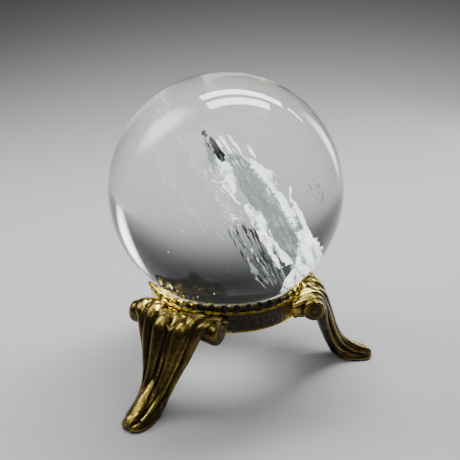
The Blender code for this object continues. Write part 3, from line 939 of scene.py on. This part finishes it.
def leg_bands(shape, side):
    """Bands from the collar over the knee, which run on down the shin as reeds."""
    wing = [
        (18.2, 6.0, 20.4, 1.85, 0.9), (20.8, 6.0, 21.6, 1.85, 1.0),
        (23.2, 5.9, 21.8, 1.8, 1.0), (25.2, 5.6, 20.5, 1.55, 0.9),
        (26.5, 5.4, 18.2, 1.35, 0.8), (27.7, 5.1, 15.6, 1.1, 0.75),
        (28.8, 4.5, 12.6, 0.95, 0.7), (30.1, 3.6, 9.3, 0.8, 0.65),
        (31.6, 2.9, 6.6, 0.7, 0.6), (33.6, 2.5, 4.6, 0.6, 0.55),
        (36.2, 2.4, 3.0, 0.5, 0.5), (38.8, 2.2, 2.2, 0.4, 0.4),
    ]
    strap = [
        (17.6, 10.1, 20.2, 1.75, 0.9), (20.2, 10.1, 21.4, 1.8, 1.0),
        (22.6, 9.9, 21.9, 1.8, 1.0), (24.4, 9.2, 21.1, 1.5, 0.9),
        (25.2, 8.2, 19.5, 1.35, 0.9), (25.9, 7.4, 17.6, 1.4, 0.9),
        (26.4, 6.7, 15.6, 1.35, 0.85), (27.0, 5.9, 13.2, 1.2, 0.8),
        (27.9, 5.1, 10.7, 0.95, 0.7), (29.0, 4.3, 8.0, 0.75, 0.6),
        (30.5, 3.6, 5.3, 0.65, 0.55), (32.6, 3.2, 3.2, 0.5, 0.5),
    ]
    shoulder = [(18.2, 8.6, 18.6, 3.1, 2.1), (20.0, 8.8, 18.9, 3.1, 2.3),
                (22.0, 8.8, 19.1, 3.1, 2.3)]
    shape.tube(mirrored(shoulder, side), squareness=3.0)
    for rows in (wing, strap):
        shape.tube(mirrored(rows, side))
    reed_r, sunk = 0.42, 0.12
    for share in (0.34, 0.6):
        rows = []
        for outer_r, outer_z, inner_r, inner_z, width in FLANK:
            rows.append((outer_r + (inner_r - outer_r) * share, side * (width - sunk),
                         outer_z + (inner_z - outer_z) * share, reed_r, reed_r))
        shape.tube(rows, sides=12)


def leg_lobe(shape, side):
    """A round-topped lobe on the shin's front, which thins to a reed on its way down."""
    lobe = [
        (23.5, 3.0, 21.0, 0.7, 0.5), (24.1, 3.0, 21.0, 1.5, 0.9), (25.2, 3.0, 20.4, 2.0, 1.2),
        (26.5, 2.9, 18.9, 2.15, 1.35), (27.7, 2.7, 16.4, 1.9, 1.2), (28.7, 2.5, 13.8, 1.6, 1.1),
        (29.7, 2.3, 11.2, 1.3, 1.0), (30.9, 2.0, 8.4, 1.05, 0.9), (32.4, 1.8, 6.1, 0.85, 0.75),
        (34.4, 1.7, 4.3, 0.7, 0.6), (37.0, 1.7, 3.0, 0.5, 0.45),
    ]
    shape.tube(leaned(mirrored(lobe, side)), sides=24)


def leg_middle(shape):
    """The arch over the lobes, the web between them, and the rib that runs down from it."""
    arch = []
    steps = 12
    for step in range(steps + 1):
        angle = math.pi * step / steps
        rise = math.sin(angle)
        arch.append((25.6 - 2.8 * rise, 4.2 * math.cos(angle), 20.2 + 1.4 * rise ** 0.6,
                     0.4, 0.45))
    shape.tube(leaned(arch), steps=2, sides=14)
    web = [(25.0, -1.7, 20.9, 0.35, 0.35), (26.1, -0.9, 19.9, 0.35, 0.35),
           (26.7, 0.0, 19.1, 0.35, 0.35), (26.1, 0.9, 19.9, 0.35, 0.35),
           (25.0, 1.7, 20.9, 0.35, 0.35)]
    shape.tube(leaned(web), steps=4, sides=12)
    rib = [(21.2, 0, 21.4, 2.6, 0.5), (23.0, 0, 21.5, 1.6, 0.45), (24.6, 0, 20.6, 0.8, 0.45),
           (25.9, 0, 19.4, 0.6, 0.5), (27.0, 0, 17.5, 0.85, 0.6), (28.1, 0, 15.0, 0.8, 0.6),
           (29.3, 0, 11.9, 0.55, 0.55), (30.7, 0, 8.4, 0.4, 0.5), (31.9, 0, 6.5, 0.4, 0.4)]
    shape.tube(leaned(rib))


def leg_foot(shape):
    """The smooth instep with its crest, down to the rounded toe, and the edge of the sole."""
    instep = [(30.1, -0.2, 8.8, 0.4, 0.4), (31.5, -0.3, 6.8, 1.0, 0.9),
              (33.4, -0.4, 5.1, 1.55, 1.15), (35.4, -0.4, 3.8, 1.9, 1.1),
              (37.8, -0.3, 2.8, 1.9, 1.0), (39.7, -0.1, 2.2, 1.6, 0.85),
              (40.9, 0.0, 1.6, 1.0, 0.6)]
    shape.tube(instep, steps=6, sides=24)
    for side in (-1, 1):
        sole = [(32.6, side * 2.7, 1.1, 0.3, 0.4), (34.4, side * 3.05, 0.6, 0.35, 0.5),
                (37.2, side * 3.05, 0.6, 0.4, 0.5), (39.2, side * 2.7, 0.6, 0.4, 0.5),
                (40.6, side * 1.8, 0.7, 0.45, 0.5), (41.1, side * 0.6, 0.8, 0.4, 0.5)]
        shape.tube(sole)


def leg_flange(shape):
    """The curved plate that lies against the collar, and its raised ends."""
    inner, outer, edge = COLLAR_R + 0.15, COLLAR_R + 1.1, COLLAR_R + 0.85
    low, high = COLLAR_BOTTOM - 0.2, 21.3
    section = [(inner, low), (outer, low), (outer, high), (inner, high)]
    half_angle = 30.0
    rings = []
    for degrees in np.linspace(-half_angle, half_angle, 25):
        angle = math.radians(degrees)
        rings.append([(r * math.cos(angle), r * math.sin(angle), z) for r, z in section])
    shape.add(rings)
    for degrees in (-half_angle, half_angle):
        angle = math.radians(degrees)
        shape.tube([(edge * math.cos(angle), edge * math.sin(angle), z, 0.55, 0.6)
                    for z in (low + 0.4, 18.0, 20.0, high - 0.4)], sides=12)


def build_leg(name, angle):
    """One casting at its angle round the axis. It rests on the floor."""
    shape = Shape()
    leg_core(shape)
    leg_middle(shape)
    leg_foot(shape)
    leg_flange(shape)
    for side in (-1, 1):
        leg_roll(shape, side)
        leg_bands(shape, side)
        leg_lobe(shape, side)
    leg = shape.make(f"scroll_leg_{name}", angle)
    fuse(leg)
    seed = 20 + list(LEG_ANGLES).index(name)
    roughen(leg, amount=0.03, size=1.8, seed=seed, pits=36, pit_size=(0.15, 0.35), pit_depth=0.06)
    points = read_points(leg.data)
    points[:, 2] = np.maximum(points[:, 2], 0.0)
    write_points(leg.data, points)
    mark_relief(leg, rounds=40, gain=1.9)
    dress(leg, LEG_GILT)
    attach(leg, "stand")
    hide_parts(f"leg_{name}")


def dress_screws():
    """The CAD screws are shown as they are, in brass."""
    brass = turned_brass("screw_brass")
    for name in LEG_ANGLES:
        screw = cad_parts[f"screw_{name}"]
        for slot in screw.material_slots:
            slot.material = brass


# ---- stage, light and camera ----
WORLD_COLOUR = (0.80, 0.82, 0.85, 1)
WORLD_STRENGTH = 0.09
CEILING = 0.36              # metres from the ball's centre up to the tubes
TUBE_TURN = 17              # degrees
# tubes on the ceiling: place and size as shares of its height, and power in watts
TUBES = (
    ("ceiling_tube_far", (0.20, 0.48), (1.05, 0.15), 1.6),
    ("ceiling_tube_near", (0.15, 0.205), (0.78, 0.16), 1.35),
    ("ceiling_tube_end", (1.04, 0.78), (0.44, 0.05), 0.25),
)
# a diffuser is at full strength this share of its size from the middle, and dark at the next
FADE_FROM, FADE_TO, FADE_STRENGTH = 0.10, 0.5, 2.0
CAMERA_PLACE = Vector((0.00115, -0.14206, 0.07964))      # metres from the foot of the axis
CAMERA_PITCH = 16.8         # degrees down
CAMERA_ROLL = 0.66          # degrees
LENS = 43.8                 # millimetres on a 36 mm sensor


def build_stage():
    """A pale floor that sweeps up into a plain backdrop in one wide bend."""
    half_width = 2.6
    near, start = -1.8, 0.10        # where the floor begins, and where it starts to bend
    bend, height = 1.3, 2.0
    rows = [(near, 0.0), (start, 0.0)]
    steps = 32
    for step in range(1, steps + 1):
        angle = math.radians(90 * step / steps)
        rows.append((start + bend * math.sin(angle), bend * (1 - math.cos(angle))))
    rows.append((start + bend, height))
    points = [(x, y, z) for y, z in rows for x in (-half_width, half_width)]
    faces = [(2 * i, 2 * i + 1, 2 * i + 3, 2 * i + 2) for i in range(len(rows) - 1)]
    floor = new_object("studio_sweep", points, faces)
    dress(floor, stage_material())


def soft_edges(data):
    """Let a lamp's face fade towards its rim, as a cloth diffuser does."""
    nodes = Nodes(data, "Emission")
    place = nodes.node("ShaderNodeNewGeometry").outputs["Parametric"]
    centred = nodes.vector("SUBTRACT", place, (0.5, 0.5, 0.0)).outputs["Vector"]
    reach = nodes.vector("LENGTH", centred).outputs["Value"]
    nodes.feed("Strength", nodes.span(reach, FADE_FROM, FADE_TO, FADE_STRENGTH, 0.0,
                                      interpolation_type="SMOOTHSTEP"))


def add_lamp(name, place, aim, size, power, turn=0.0, soft=True):
    """A rectangular lamp; place and aim are offsets from the ball's centre in metres."""
    data = bpy.data.lights.new(name, "AREA")
    data.shape = "RECTANGLE"
    data.size, data.size_y = size
    data.energy = power
    if soft:
        soft_edges(data)
    lamp = bpy.data.objects.new(name, data)
    lamp.location = BALL_CENTRE + Vector(place)
    look = (Vector(aim) - Vector(place)).to_track_quat("-Z", "Y")
    spin = Matrix.Rotation(math.radians(turn), 3, "Z").to_quaternion()
    lamp.rotation_euler = (look @ spin).to_euler()
    bpy.context.scene.collection.objects.link(lamp)


def around(azimuth, elevation, distance):
    """An offset; azimuth 0 is behind the ball and 90 to its right."""
    az, el = math.radians(azimuth), math.radians(elevation)
    return Vector((math.sin(az) * math.cos(el), math.cos(az) * math.cos(el),
                   math.sin(el))) * distance


def build_lights():
    """Tubes that make the two bright arcs in the ball, cloth diffusers, and a dim room."""
    for name, (x, y), size, power in TUBES:
        place = Vector((x, y, 1.0)) * CEILING
        below = place - Vector((0, 0, 1))
        add_lamp(name, place, below, (size[0] * CEILING, size[1] * CEILING), power, TUBE_TURN,
                 soft=False)
    middle = (0, 0, 0)
    add_lamp("left_diffuser", around(-80, 44, 0.40), middle, (0.22, 0.44), 1.5)
    add_lamp("right_window", around(45, 13, 0.45), middle, (0.145, 0.36), 0.6)
    add_lamp("top_diffuser", around(-150, 55, 0.55), middle, (0.4, 0.4), 0.7)
    world = bpy.data.worlds.new("studio")
    bpy.context.scene.world = world
    Nodes(world, "Background").set(Color=WORLD_COLOUR, Strength=WORLD_STRENGTH)


def build_camera():
    """The camera at the photo's viewing angle."""
    data = bpy.data.cameras.new("camera")
    camera = bpy.data.objects.new("camera", data)
    bpy.context.scene.collection.objects.link(camera)
    data.sensor_width = 36.0
    data.lens = LENS
    data.clip_start = 0.01
    camera.matrix_world = (Matrix.Translation(AXIS + CAMERA_PLACE)
                           @ Matrix.Rotation(math.radians(90 - CAMERA_PITCH), 4, "X")
                           @ Matrix.Rotation(math.radians(CAMERA_ROLL), 4, "Z"))
    bpy.context.scene.camera = camera


# painted light: the legs are painted bright near the collar and darker lower down as painted
# shade
LEG_GILT = antique_gold("leg_gilt", -0.31, BRONZE_TONES, 0.5, "root")

build_camera()
build_stage()
build_lights()
build_ball()
build_fractures()
build_collar()
build_beads()
for leg_name, leg_angle in LEG_ANGLES.items():
    build_leg(leg_name, leg_angle)
dress_screws()
